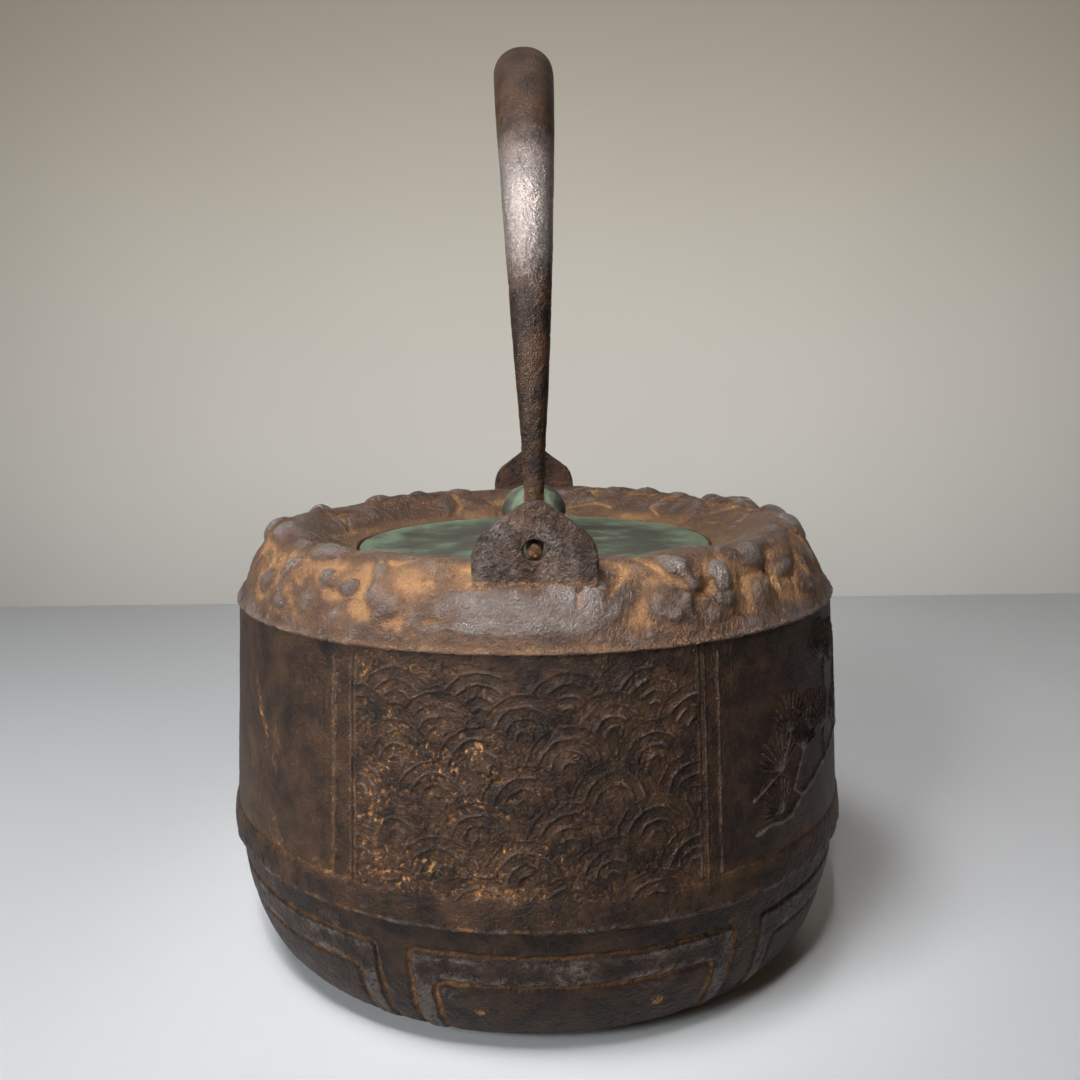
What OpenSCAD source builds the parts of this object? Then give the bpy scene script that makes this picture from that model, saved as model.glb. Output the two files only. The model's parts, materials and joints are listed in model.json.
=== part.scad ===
// Cast iron water kettle with a bail handle and a copper alloy lid.
// Origin: centre of the flat base, on the table. +Z up, spout towards +Y.
// Millimetres.

/* [Body] */
// Radius of the belt, the widest part
belt_r = 90; // [84:0.5:96]
// Height of the belt's lower edge
belt_z = 36.5; // [32:0.5:40]
// Height of the belt band
belt_h = 8.5; // [6:0.5:10]
// Radius of the wall just above the belt
wall_low_r = 88.8; // [84:0.2:90]
// Radius of the wall at the shoulder line
wall_high_r = 85.4; // [84:0.2:87]
// Height of the shoulder line
shoulder_z = 102; // [98:0.5:104]
// Height of the crest of the shoulder
crest_z = 120.6; // [119:0.2:122]
// Radius of the flat base
base_r = 64.8; // [60:0.2:68]
// Thickness of the cast wall
wall_t = 2.8; // [2.6:0.1:4]

/* [Mouth and lid] */
// Radius of the mouth
mouth_r = 46.8; // [44:0.2:48]
// Radius of the recess that the lid lies in
seat_r = 52.2; // [51.9:0.1:54]
// Height of the ledge under the lid
seat_z = 111.5; // [110.5:0.1:112]
// Radius of the lid
lid_r = 51.6; // [50:0.1:51.6]
// Thickness of the lid
lid_t = 1.9; // [1.4:0.1:2.4]
// Gap between the lid's flange and the mouth
flange_gap = 0.5; // [0.3:0.1:1.5]
// Thickness of the lid's flange
flange_t = 1.7; // [1.2:0.1:2.5]
// Depth of the lid's flange
flange_h = 8; // [4:0.5:10]

/* [Knob] */
// Largest radius of the knob
knob_r = 9.8; // [8:0.1:11]
// Height of the knob's top above the lid
knob_h = 17.1; // [15:0.1:19]
// Radius of the knob's pin
knob_pin_r = 2; // [1.5:0.1:2.4]
// Running clearance of the pin in the lid
knob_clear = 0.05; // [0.02:0.01:0.1]

/* [Lugs] */
// Half the width of a lug at its foot
lug_half_w = 14.7; // [13:0.1:16]
// Height of the lug's top
lug_top_z = 135.4; // [133:0.2:138]
// Thickness of a lug
lug_t = 5; // [4:0.2:6]
// Distance from the axis to a lug's middle plane
lug_y = 79; // [78:0.2:80]
// Radius of the hole in a lug
lug_hole_r = 2.45; // [2.3:0.05:2.8]

/* [Handle] */
// Radius of the handle's pins
pin_r = 1.85; // [1.6:0.05:1.9]
// Height of the axis that the handle swings about
pin_z = 123.9; // [123.5:0.1:124.2]
// Height of the top of the bow
bow_top_z = 250; // [230:1:265]
// Half width of the bow at its top, across the arch
bow_top_r = 8.1; // [7:0.1:9]
// Half width of the bow where it meets a hook
bow_low_r = 3.1; // [2.9:0.1:3.6]
// Thickness of the rolled sheet of the bow
bow_sheet = 1; // [0.8:0.1:1.2]
// Height of the joint between the bow and a hook
hook_top_z = 150; // [146:1:156]
// Radius of a hook's arm next to its lug
arm_r = 2.3; // [2.1:0.1:2.5]

/* [Spout] */
// Radius of the spout's bore at the wall
spout_bore_root = 10; // [8:0.5:11]
// Radius of the spout's bore at the lip
spout_bore_tip = 5.6; // [5:0.1:6.5]
// Thickness of the spout at the lip
spout_tip_t = 2.6; // [2.2:0.1:3.2]
// Thickness of the spout at the wall
spout_root_t = 7; // [5:0.1:7.5]

/* [Hidden] */
$fn = 96;

iron = "#5b4a42";
rust = "#8a5a34";
patina = "#5d7a62";

lid_top = seat_z + lid_t;
bowl_top_r = belt_r - 1.5;

// A point on a cubic curve, from four control points
function curve(p, t) =
    pow(1 - t, 3) * p[0] + 3 * pow(1 - t, 2) * t * p[1]
    + 3 * (1 - t) * t * t * p[2] + pow(t, 3) * p[3];
// The curve's direction, as a unit vector
function along(p, t) = let (
    d = pow(1 - t, 2) * (p[1] - p[0]) + 2 * (1 - t) * t * (p[2] - p[1])
        + t * t * (p[3] - p[2])
) d / norm(d);

// Bowl from the base to the belt, moved in by a distance and up by a distance
bowl_steps = 14;
function bowl(inset, lift) = let (p = [
    [base_r - inset, lift],
    [base_r + 19.4 - inset, lift + 1],
    [bowl_top_r - 2.7 - inset, lift / 2 + 15.7],
    [bowl_top_r - inset, belt_z]
]) [for (i = [0 : bowl_steps]) curve(p, i / bowl_steps)];

// Convex belt band with a small lip over the bowl
function belt() = [
    for (i = [0 : 6]) let (a = 180 * i / 6)
        [belt_r - 0.2 + 0.5 * sin(a) - (i == 6 ? belt_r - 0.2 - wall_low_r : 0),
         belt_z + belt_h * i / 6]
];

// Shoulder from the line at the top of the wall, over the crest, to the lid
function shoulder() = [
    [wall_high_r, shoulder_z - 0.6],
    [wall_high_r + 0.5, shoulder_z],
    [wall_high_r + 0.4, shoulder_z + 0.8],
    [wall_high_r - 0.3, shoulder_z + 4],
    [wall_high_r - 1.6, crest_z - 9],
    [wall_high_r - 4.2, crest_z - 4],
    [wall_high_r - 8.2, crest_z - 0.9],
    [wall_high_r - 13, crest_z],
    [wall_high_r - 19, crest_z - 1],
    [wall_high_r - 25.5, crest_z - 4.2],
    [seat_r + 2.4, lid_top + 0.5],
    [seat_r, lid_top - 0.1]
];

// Inside of the shoulder, from the mouth out to the wall
function ceiling_line() = [
    [mouth_r, seat_z - 3.5],
    [mouth_r + 8, seat_z - 1.6],
    [mouth_r + 18, seat_z + 2.2],
    [mouth_r + 25, seat_z + 3],
    [wall_high_r - 7.4, seat_z - 1.2],
    [wall_high_r - 4.2, seat_z - 6.5],
    [wall_high_r - wall_t, shoulder_z - 3]
];

function reversed(list) = [for (i = [len(list) - 1 : -1 : 0]) list[i]];

outer_line = concat(bowl(0, 0), belt(), shoulder());
inner_line = concat(
    [[mouth_r, seat_z]],
    ceiling_line(),
    [[wall_low_r - wall_t, belt_z + belt_h]],
    reversed(bowl(wall_t - 1, wall_t))
);

// Spout: a curved tapering tube in the plane of the handle
spout_path = [[0, 80, 75], [0, 101, 81], [0, 108, 95], [0, 118, 107.5]];
spout_root_way = spout_path[1] - spout_path[0];
spout_tilt = atan2(spout_root_way[1], spout_root_way[2]);
spout_rings = 15;
spout_sides = 32;
function spout_bore(t) = spout_bore_root + (spout_bore_tip - spout_bore_root) * pow(t, 0.8);
function spout_wall(t) = spout_root_t + (spout_tip_t - spout_root_t) * pow(t, 0.6)
    + 0.7 * pow(max(0, t - 0.85) / 0.15, 2);
function ring(path, t, rx, rz, sides) = let (c = curve(path, t), d = along(path, t)) [
    for (k = [0 : sides - 1]) let (a = 360 * k / sides)
        c + [rx * cos(a), -rz * sin(a) * d[2], rz * sin(a) * d[1]]
];

// Arch of the bow, from the rear joint over the top to the spout side
lug_in = lug_y - lug_t / 2;
lug_out = lug_y + lug_t / 2;
arm_gap = 0.5;
arm_y = lug_in - arm_gap - arm_r;
bow_rise = bow_top_z - bow_top_r * 0.92 - hook_top_z;
bow_rings = 49;
bow_sides = 28;
bow_flat = 0.92;
function bow_centre(a) = [0, -arm_y * cos(a), hook_top_z + bow_rise * sin(a)];
function bow_along(a) = let (d = [0, arm_y * sin(a), bow_rise * cos(a)]) d / norm(d);
function bow_r(a) = bow_low_r + (bow_top_r - bow_low_r) * pow(max(0, sin(a)), 0.88);
function bow_ring(a, inset) = let (
    c = bow_centre(a), d = bow_along(a), r = bow_r(a) - inset
) [for (k = [0 : bow_sides - 1]) let (b = 360 * k / bow_sides)
    c + [r * cos(b), -r * bow_flat * sin(b) * d[2], r * bow_flat * sin(b) * d[1]]];

// Chaplets: three level pairs round the bowl
chaplet_r = 1.6;
chaplet_pair = [-99.5, -70.5];
chaplet_pairs = 3;
chaplet_step = 8;

// Joins rings into a closed tube: outer rings one way, inner rings back
module tube(outer, inner) {
    n = len(outer[0]);
    rings = concat(outer, reversed(inner));
    m = len(rings);
    polyhedron(
        points = [for (r = rings) each r],
        faces = [for (i = [0 : m - 1], k = [0 : n - 1]) let (
            j = (i + 1) % m, l = (k + 1) % n
        ) each [
            [i * n + k, i * n + l, j * n + l],
            [i * n + k, j * n + l, j * n + k]
        ]],
        convexity = 6
    );
}

module envelope() {
    rotate_extrude($fn = 180)
        polygon(concat([[0, 0]], outer_line, [[0, lid_top]]));
}

module lug_plate() {
    // Upright foot, slanted sides and a round top, cut through by the hole
    top_arc = 4.2;
    side = [lug_half_w, pin_z - 0.9];
    corner = [lug_half_w - 1, pin_z + 1.6];
    cheek = [lug_half_w - 2.7, pin_z + 3.7];
    half = concat(
        [[lug_half_w, seat_z + 2], side, corner, cheek],
        [for (i = [0 : 5]) let (a = 38 + 52 * i / 5)
            [1.4 * (1 - i / 5) + top_arc * cos(a), lug_top_z - top_arc + top_arc * sin(a)]]
    );
    difference() {
        translate([0, lug_t / 2, 0])
            rotate([90, 0, 0])
                linear_extrude(lug_t)
                    polygon(concat(half, [for (p = reversed(half)) [-p[0], p[1]]]));
        translate([0, lug_t, pin_z + lug_hole_r - pin_r - 0.3])
            rotate([90, 0, 0])
                cylinder(r = lug_hole_r, h = 2 * lug_t);
    }
}

// The space that a lug's foot fills in the shoulder
module lug_pocket() {
    translate([-lug_half_w, -lug_t / 2, seat_z + 2])
        cube([2 * lug_half_w, lug_t, crest_z - seat_z + 4]);
}

// Plugs square to the bowl, longer than the wall is thick
module chaplet_plugs() {
    p = bowl(0, 0)[chaplet_step];
    q = bowl(wall_t - 1, wall_t)[chaplet_step];
    lean = atan2(p[0] - q[0], q[1] - p[1]);
    for (i = [0 : chaplet_pairs - 1], turn = chaplet_pair)
        rotate([0, 0, turn + 360 * i / chaplet_pairs])
            translate([q[0], 0, q[1]])
                rotate([0, 180 - lean, 0])
                    translate([0, 0, -wall_t])
                        cylinder(r = chaplet_r, h = 4 * wall_t);
}

module core_chaplets() {
    color(rust)
    intersection() {
        difference() {
            envelope();
            hollow();
        }
        chaplet_plugs();
    }
}

// The air inside the kettle
module hollow() {
    rotate_extrude($fn = 180)
        polygon(concat([[0, seat_z + 5], [mouth_r, seat_z + 5]], inner_line, [[0, wall_t]]));
}

module kettle_body() {
    color(iron)
    difference() {
        envelope();
        hollow();
        translate([0, 0, seat_z])
            cylinder(r = seat_r, h = crest_z);
        for (side = [-1, 1])
            translate([0, side * lug_y, 0])
                lug_pocket();
        chaplet_plugs();
        // Way into the spout
        translate(spout_path[0])
            rotate([-spout_tilt, 0, 0])
                translate([0, 0, -12])
                    cylinder(r = spout_bore_root, h = 40);
    }
}

module spout() {
    color(iron)
    difference() {
        tube(
            [for (i = [0 : spout_rings]) let (t = i / spout_rings)
                ring(spout_path, t, spout_bore(t) + spout_wall(t),
                     spout_bore(t) + spout_wall(t), spout_sides)],
            [for (i = [0 : spout_rings]) let (t = i / spout_rings)
                ring(spout_path, t, spout_bore(t), spout_bore(t), spout_sides)]
        );
        envelope();
    }
}

module rear_lug() {
    color(iron) translate([0, -lug_y, 0]) lug_plate();
}

module spout_lug() {
    color(iron) translate([0, lug_y, 0]) lug_plate();
}

module handle_bow() {
    color(iron)
    tube(
        [for (i = [0 : bow_rings - 1]) bow_ring(180 * i / (bow_rings - 1), 0)],
        [for (i = [0 : bow_rings - 1]) bow_ring(180 * i / (bow_rings - 1), bow_sheet)]
    );
}

// Solid end of the handle: arm with a round foot, tang and pin, on the rear side
module hook() {
    tang_r = bow_low_r * bow_flat - bow_sheet - 0.05;
    tang_h = 6;
    foot_z = pin_z - arm_r - 0.2;
    foot = [[0, foot_z], [arm_r - 1, foot_z], [arm_r, foot_z + 1]];
    translate([0, -arm_y, 0])
        rotate_extrude()
            polygon(concat(foot, [
                [bow_low_r * bow_flat, hook_top_z],
                [tang_r, hook_top_z],
                [tang_r, hook_top_z + tang_h],
                [0, hook_top_z + tang_h]
            ]));
    translate([0, -arm_y, pin_z])
        rotate([90, 0, 0])
            cylinder(r = pin_r, h = lug_out - 1 - arm_y);
}

module rear_hook() {
    color(rust) hook();
}

module spout_hook() {
    color(rust) mirror([0, 1, 0]) hook();
}

module lid_plate() {
    color(patina)
    rotate_extrude($fn = 180)
        polygon([
            [knob_pin_r + knob_clear, seat_z],
            [lid_r - 0.4, seat_z],
            [lid_r, seat_z + 0.5],
            [lid_r, lid_top - 0.5],
            [lid_r - 0.5, lid_top],
            [knob_pin_r + knob_clear, lid_top]
        ]);
}

module lid_flange() {
    flange_r = mouth_r - flange_gap;
    color(patina)
    translate([0, 0, seat_z - flange_h])
        difference() {
            cylinder(r = flange_r, h = flange_h, $fn = 180);
            translate([0, 0, -1])
                cylinder(r = flange_r - flange_t, h = flange_h + 2, $fn = 180);
        }
}

// Height of the gap that lets the knob turn on its seat
turn_gap = 0.2;
knob_seat_h = 1.4;
module knob_seat() {
    color(patina)
    translate([0, 0, lid_top])
        difference() {
            cylinder(r1 = 6.4, r2 = 5.2, h = knob_seat_h);
            translate([0, 0, -1])
                cylinder(r = knob_pin_r + knob_clear, h = knob_seat_h + 2);
        }
}

knob_foot_z = lid_top + knob_seat_h + turn_gap;
knob_top_z = lid_top + knob_h;
knob_wide_z = lid_top + knob_h * 0.6;
knob_socket_z = knob_foot_z + 7;
module knob() {
    // Narrow neck, hollowed underside, round shoulder and a bud's low dome
    dome = [for (i = [0 : 10]) let (a = 90 * i / 10)
        [knob_r * cos(a), knob_wide_z + (knob_top_z - knob_wide_z) * sin(a)]];
    under = [for (i = [0 : 4]) let (a = 90 * i / 4)
        [3.4 + (knob_r - 3.9) * (1 - cos(a)), knob_foot_z + 1.4 + 5.2 * sin(a)]];
    color(patina)
    rotate_extrude()
        polygon(concat(
            [[knob_pin_r, knob_foot_z], [4.2, knob_foot_z], [4.4, knob_foot_z + 0.7]],
            under,
            [[knob_r - 0.15, knob_wide_z - 1.2]],
            dome,
            [[0, knob_socket_z], [knob_pin_r, knob_socket_z]]
        ));
}

washer_r = 5.5;
washer_t = 1;
washer_top = seat_z - turn_gap;
peen_t = 1.2;
module knob_pin() {
    color(rust) {
        translate([0, 0, washer_top - washer_t])
            cylinder(r = knob_pin_r, h = knob_socket_z - washer_top + washer_t);
        translate([0, 0, washer_top - washer_t - peen_t])
            cylinder(r1 = 2.4, r2 = 3.2, h = peen_t);
    }
}

module knob_washer() {
    color(patina)
    translate([0, 0, washer_top - washer_t])
        difference() {
            cylinder(r = washer_r, h = washer_t);
            translate([0, 0, -1])
                cylinder(r = knob_pin_r, h = washer_t + 2);
        }
}

kettle_body();
core_chaplets();
spout();
rear_lug();
spout_lug();
handle_bow();
rear_hook();
spout_hook();
lid_plate();
lid_flange();
knob_seat();
knob();
knob_pin();
knob_washer();
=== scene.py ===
"""An old cast iron kettle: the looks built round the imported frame.

Lengths in this file are millimetres until a mesh is made, and angles round the
kettle are degrees from the side opposite the spout, positive towards +X.
"""
import json
import math

import bpy
import numpy as np
from mathutils import Euler, Matrix, Vector


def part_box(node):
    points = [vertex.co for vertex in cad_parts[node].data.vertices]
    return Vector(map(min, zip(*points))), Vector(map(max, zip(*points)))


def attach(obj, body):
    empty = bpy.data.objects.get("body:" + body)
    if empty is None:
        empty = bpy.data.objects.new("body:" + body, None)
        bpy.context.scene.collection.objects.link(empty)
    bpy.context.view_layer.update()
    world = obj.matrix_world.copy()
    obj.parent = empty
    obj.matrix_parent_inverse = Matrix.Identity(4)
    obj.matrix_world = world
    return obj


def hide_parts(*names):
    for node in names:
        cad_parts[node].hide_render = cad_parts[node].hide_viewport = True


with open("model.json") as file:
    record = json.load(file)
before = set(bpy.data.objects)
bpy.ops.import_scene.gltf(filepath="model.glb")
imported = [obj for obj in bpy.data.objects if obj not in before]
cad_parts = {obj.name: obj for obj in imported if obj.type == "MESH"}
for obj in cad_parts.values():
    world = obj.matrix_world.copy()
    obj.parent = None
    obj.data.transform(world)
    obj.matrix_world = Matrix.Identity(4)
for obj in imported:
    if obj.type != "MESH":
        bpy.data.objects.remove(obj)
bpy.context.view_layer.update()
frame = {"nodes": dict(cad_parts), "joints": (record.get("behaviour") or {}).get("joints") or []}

MM = 0.001
scene = bpy.context.scene


def corners(node):
    """A CAD node's lowest and highest corners, in millimetres."""
    low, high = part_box(node)
    return np.array(low) / MM, np.array(high) / MM


# ---- sizes

BODY_HIGH = corners("kettle_body")[1]
LID_LOW, LID_HIGH = corners("lid_plate")
LUG_LOW, LUG_HIGH = corners("rear_lug")
BOW_LOW, BOW_HIGH = corners("handle_bow")
HOOK_LOW = corners("rear_hook")[0]
KNOB_LOW, KNOB_HIGH = corners("knob")
FLANGE_HIGH = corners("lid_flange")[1]
SEAT_LOW, SEAT_HIGH = corners("knob_seat")
PIN_Z = next(j for j in frame["joints"] if j["name"] == "handle_swing")["pos_m"][2] / MM

BELT_R = BODY_HIGH[0] - 0.3
BELT_Z = 36.5
BELT_TOP_Z = 45.0
BASE_R = 64.8
BOWL_TOP_R = BELT_R - 1.5
WALL_LOW_R = 88.8
WALL_HIGH_R = 85.4
LEDGE_Z = 102.0
CREST_Z = BODY_HIGH[2]
SEAT_Z = LID_LOW[2]
LID_TOP_Z = LID_HIGH[2]
LID_R = LID_HIGH[0]
RECESS_R = LID_R + 0.6
MOUTH_R = FLANGE_HIGH[0] + 0.5
WALL_T = 2.8

STEP = 0.42  # between points of the casting's skin
WALL_ARC = math.radians(WALL_LOW_R - 1.5)  # along the wall for one degree
ROUND_ARC = math.radians(84)  # the same round the bowl and the shoulder


def shifted(radius, height, points):
    """Profile points given from one radius and height."""
    return [(radius + out, height + up) for out, up in points]


# ---- noise


def gradient_table(seed):
    """A shuffled index and unit vectors for one seed of noise."""
    draw = np.random.default_rng(seed)
    vectors = draw.normal(size=(256, 3)).astype(np.float32)
    vectors /= np.linalg.norm(vectors, axis=1, keepdims=True)
    return draw.permutation(256), vectors


def noise(points, size, seed):
    """Smooth noise in space, about -1 to 1, whose blobs are as wide as size."""
    index, vectors = gradient_table(seed)
    q = (points / size).astype(np.float32)
    cell = np.floor(q).astype(np.int64)
    part = q - cell
    fade = part * part * part * (part * (part * 6 - 15) + 10)
    total = np.zeros(q.shape[:-1], np.float32)
    for corner in np.ndindex(2, 2, 2):
        step = np.array(corner)
        at = (cell + step) & 255
        pick = index[(index[(index[at[..., 0]] + at[..., 1]) & 255] + at[..., 2]) & 255]
        dot = ((part - step) * vectors[pick]).sum(-1)
        weight = np.ones_like(dot)
        for axis, side in enumerate(corner):
            weight = weight * (fade[..., axis] if side else 1 - fade[..., axis])
        total += dot * weight
    return total * 1.6


def layered(points, size, seed, layers=3, gain=0.5):
    """Noise with finer and weaker layers on top."""
    total = 0
    for k in range(layers):
        total = total + gain**k * noise(points, size / 2**k, seed + 17 * k)
    return total


def patches(points, size, seed):
    """Slow changes of wear over the surface, 0 to 1."""
    return 0.5 + 0.5 * np.clip(layered(points, size, seed), -1, 1)


def billows(points, size, seed):
    """Rounded lumps with sharp creases between them, 0 in a crease to about 1."""
    return np.abs(noise(points, size, seed))


def crust(points, size, seed, cover):
    """Sharp little pits of corroded iron, 0 to 1, where cover is near 1."""
    pits = layered(points, size, seed, 3, 0.75) + 0.35 * noise(points, 3.5 * size, seed + 1)
    return ramp(pits - 0.5 * (1 - cover), -0.12, 0.42) * cover


def ramp(value, low, high):
    """0 below low, 1 above high, smooth between."""
    t = np.clip((value - low) / (high - low), 0, 1)
    return t * t * (3 - 2 * t)


def stroke(distance, half):
    """A soft-edged line: 1 in its middle, fading over its half width."""
    return np.exp(-((distance / half) ** 2))


def blurred(grid, reach, wrap):
    """The grid smoothed along both directions, by three passes of a running mean."""
    out = grid.astype(np.float64)
    for axis, around in ((0, False), (1, wrap)):
        for _ in range(3):
            pad = [(0, 0), (0, 0)]
            pad[axis] = (reach, reach)
            big = np.pad(out, pad, mode="wrap" if around else "edge")
            run = np.cumsum(big, axis=axis)
            zero = np.zeros_like(np.take(run, [0], axis=axis))
            run = np.concatenate([zero, run], axis=axis)
            size = out.shape[axis]
            wide = 2 * reach + 1
            upper = np.take(run, np.arange(wide, wide + size), axis=axis)
            lower = np.take(run, np.arange(0, size), axis=axis)
            out = (upper - lower) / wide
    return out


# ---- mesh tools


def add_object(name, data):
    """A new object in the scene."""
    piece = bpy.data.objects.new(name, data)
    scene.collection.objects.link(piece)
    return piece


def skin(name, rows, marks, wrap_rows=True, wrap_columns=True):
    """A closed mesh through a grid of points (rows, columns, 3), flat caps where it is open.

    marks are named values for every point, which the materials read.
    """
    index = np.arange(rows[..., 0].size).reshape(rows.shape[:2])
    net = np.vstack([index, index[:1]]) if wrap_rows else index
    net = np.hstack([net, net[:, :1]]) if wrap_columns else net
    quads = np.stack([net[:-1, :-1], net[:-1, 1:], net[1:, 1:], net[1:, :-1]], axis=-1)
    quads = quads.reshape(-1, 4)
    faces = quads.tolist()
    caps = []
    if not wrap_rows:
        caps = [index[0, ::-1].tolist(), index[-1].tolist()]
    if not wrap_columns:
        caps = [index[:, 0].tolist(), index[::-1, -1].tolist()]
    points = rows.reshape(-1, 3) * MM
    a, b, c, d = (points[quads[:, k]] for k in range(4))
    volume = (np.cross(b - a, c - a) * a).sum() + (np.cross(c - a, d - a) * a).sum()
    if volume < 0:
        faces = [f[::-1] for f in faces]
        caps = [f[::-1] for f in caps]
    mesh = bpy.data.meshes.new(name)
    mesh.from_pydata(points.tolist(), [], faces + caps)
    smooth = np.ones(len(mesh.polygons), bool)
    smooth[len(faces):] = False
    mesh.polygons.foreach_set("use_smooth", smooth)
    for key, values in marks.items():
        layer = mesh.attributes.new(key, "FLOAT", "POINT")
        layer.data.foreach_set("value", np.asarray(values, np.float32).reshape(-1))
    mesh.update()
    return add_object(name, mesh)


def run_along(points):
    """How far each point lies along the line through them."""
    return np.concatenate([[0], np.cumsum(np.linalg.norm(np.diff(points, axis=0), axis=1))])


def resampled(points, step):
    """A polyline with even steps along it, ends kept."""
    points = np.asarray(points, float)
    run = run_along(points)
    count = max(2, int(round(run[-1] / step)) + 1)
    at = np.linspace(0, run[-1], count)
    return np.stack([np.interp(at, run, points[:, k]) for k in range(points.shape[1])], -1)


def rounded_line(points, step):
    """A smooth curve through the points, in even steps."""
    p = np.asarray(points, float)
    p = np.vstack([2 * p[0] - p[1], p, 2 * p[-1] - p[-2]])
    out = []
    for k in range(1, len(p) - 2):
        t = np.linspace(0, 1, 24, endpoint=False)[:, None]
        a, b, c, d = p[k - 1 : k + 3]
        out.append(
            0.5 * (2 * b + (c - a) * t + (2 * a - 5 * b + 4 * c - d) * t**2
                   + (3 * b - a - 3 * c + d) * t**3)
        )
    return resampled(np.vstack([*out, p[-2][None]]), step)


def cubic(a, b, c, d, count=60):
    """Points along a cubic curve."""
    t = np.linspace(0, 1, count)[:, None]
    a, b, c, d = (np.asarray(v, float) for v in (a, b, c, d))
    return (1 - t) ** 3 * a + 3 * (1 - t) ** 2 * t * b + 3 * (1 - t) * t * t * c + t**3 * d


def outward(line):
    """Unit normals of a profile that runs up the outside of the kettle."""
    way = np.gradient(line, axis=0)
    way /= np.linalg.norm(way, axis=1, keepdims=True)
    return np.stack([way[:, 1], -way[:, 0]], -1)


def turned(line, angles):
    """The profile turned round the axis, as (rows, columns, 3)."""
    a = np.radians(angles)
    radius, height = line[:, 0][:, None], line[:, 1][:, None]
    return np.stack([radius * np.sin(a), -radius * np.cos(a), height + 0 * a], -1)


def lifted(line, angles, lift):
    """The turned profile pushed out along its normals by a lift for every point."""
    base = turned(line, angles)
    n = turned(outward(line), angles)
    return base + n * np.asarray(lift)[..., None]


def swept(path, wide, tall, columns, square=2.0):
    """Rings round a path in the YZ plane, their half widths along X and in its plane.

    square over 2 flattens the ring's sides.
    """
    way = np.gradient(path, axis=0)
    way /= np.linalg.norm(way, axis=1, keepdims=True)
    across = np.array([1.0, 0, 0])
    up = np.cross(way, across)
    turn = np.linspace(0, 2 * math.pi, columns, endpoint=False)
    cos, sin = np.cos(turn), np.sin(turn)
    scale = (np.abs(cos) ** square + np.abs(sin) ** square) ** (-1 / square)
    cos, sin = cos * scale, sin * scale
    return (
        path[:, None]
        + across * (wide[:, None] * cos)[..., None]
        + up[:, None] * (tall[:, None] * sin)[..., None]
    )


def normals_from(grid, middle):
    """Unit normals of closed rings of points, pointing away from the rings' middles."""
    down = np.gradient(grid, axis=0)
    along = (np.roll(grid, -1, axis=1) - np.roll(grid, 1, axis=1)) / 2
    n = np.cross(along, down)
    n = n / np.maximum(np.linalg.norm(n, axis=-1, keepdims=True), 1e-9)
    ring = len(grid) // 3
    inward = (n[ring] * (grid[ring] - middle[ring])).sum() < 0
    return -n if inward else n


def standing_out(lift, reach, around=True):
    """How far each point stands above what lies round it."""
    return lift - blurred(lift, reach, around)


def bent_angles(start, stop, fine, coarse, radius):
    """Angles in steps that are fine towards the front and coarse behind."""
    a = np.linspace(start, stop, 4000)
    behind = ramp(np.abs((a + 180) % 360 - 180), 75, 110)
    step = np.degrees((fine + (coarse - fine) * behind) / radius)
    run = np.concatenate([[0], np.cumsum(np.diff(a) / step[1:])])
    return np.interp(np.linspace(0, run[-1], int(run[-1]) + 1), run, a)


def cast(name, line, back, angles, relief, around=False):
    """A closed piece of the casting: a profile with relief and a plain one behind it.

    relief is the lift, rust and wear of every point of the profile.
    """
    lift, rust, wear = relief
    outer = lifted(line, angles, lift)
    inner = turned(np.asarray(back, float), angles)
    plain = np.zeros(inner.shape[:2])
    marks = {
        "relief": np.vstack([standing_out(lift, 5, around), plain - 0.1]),
        "rust": np.vstack([rust + 0 * lift, plain + 0.5]),
        "wear": np.vstack([wear + 0 * lift, plain]),
    }
    return skin(name, np.concatenate([outer, inner]), marks, wrap_columns=around)


def on_kettle(piece, node="kettle_body", body="kettle"):
    """Rides the piece on a CAD body in place of a node."""
    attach(piece, body)
    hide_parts(node)
    return piece


# ---- wall

WAVE_PITCH = 20.3
WAVE_TOPS_Z = (97.6, 92.6, 85.2, 76.6, 67.6, 58.9, 50.2)
WAVE_RINGS = (10.15, 7.35, 4.6, 2.0)
WAVE_MIDDLE = -1.8
FRONT_PANEL = (-29.2, 25.7)
BACK_PANEL = (152, 207)
PINE_PANEL = (33, 147)
# The lines beside each strap, in degrees: the panel's border, then the two edges of the strap
STRAPS = ((25.7, 26.9, 29.5), (-29.2, -30.1, -33.3), (152.0, 150.9, 148.3), (207.0, 208.1, 210.7))


def wave_scales(a, z, warp):
    """Height of overlapping scales of arches; lower rows lie over higher ones."""
    height = np.zeros_like(a)
    a = a + 0.45 * warp
    z = z + 0.35 * np.roll(warp, 40, axis=1)
    for row, top in enumerate(WAVE_TOPS_Z):
        shift = 0 if row % 2 else WAVE_PITCH / 2
        across = (a - shift + WAVE_PITCH / 2) % WAVE_PITCH - WAVE_PITCH / 2
        up = z - top + WAVE_RINGS[0]
        d = np.hypot(across, up)
        lines = sum(stroke(d - r, 0.31) * ramp(up, -1.8, 1.2 + 0.12 * r) for r in WAVE_RINGS)
        dome = 0.3 * (1 - (d / WAVE_RINGS[0]) ** 2)
        inside = ramp(-d, -WAVE_RINGS[0] - 0.6, -WAVE_RINGS[0] - 0.25)
        height = height * (1 - inside) + (0.55 * np.clip(lines, 0, 1) + dome) * inside
    return height


def near_line(a, z, points):
    """Distance from every (a, z) to a bent line through the points."""
    best = np.full(a.shape, 1e9)
    for p, q in zip(points[:-1], points[1:]):
        p, q = np.asarray(p, float), np.asarray(q, float)
        w = q - p
        t = np.clip(((a - p[0]) * w[0] + (z - p[1]) * w[1]) / (w @ w), 0, 1)
        best = np.minimum(best, np.hypot(a - p[0] - t * w[0], z - p[1] - t * w[1]))
    return best


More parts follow.
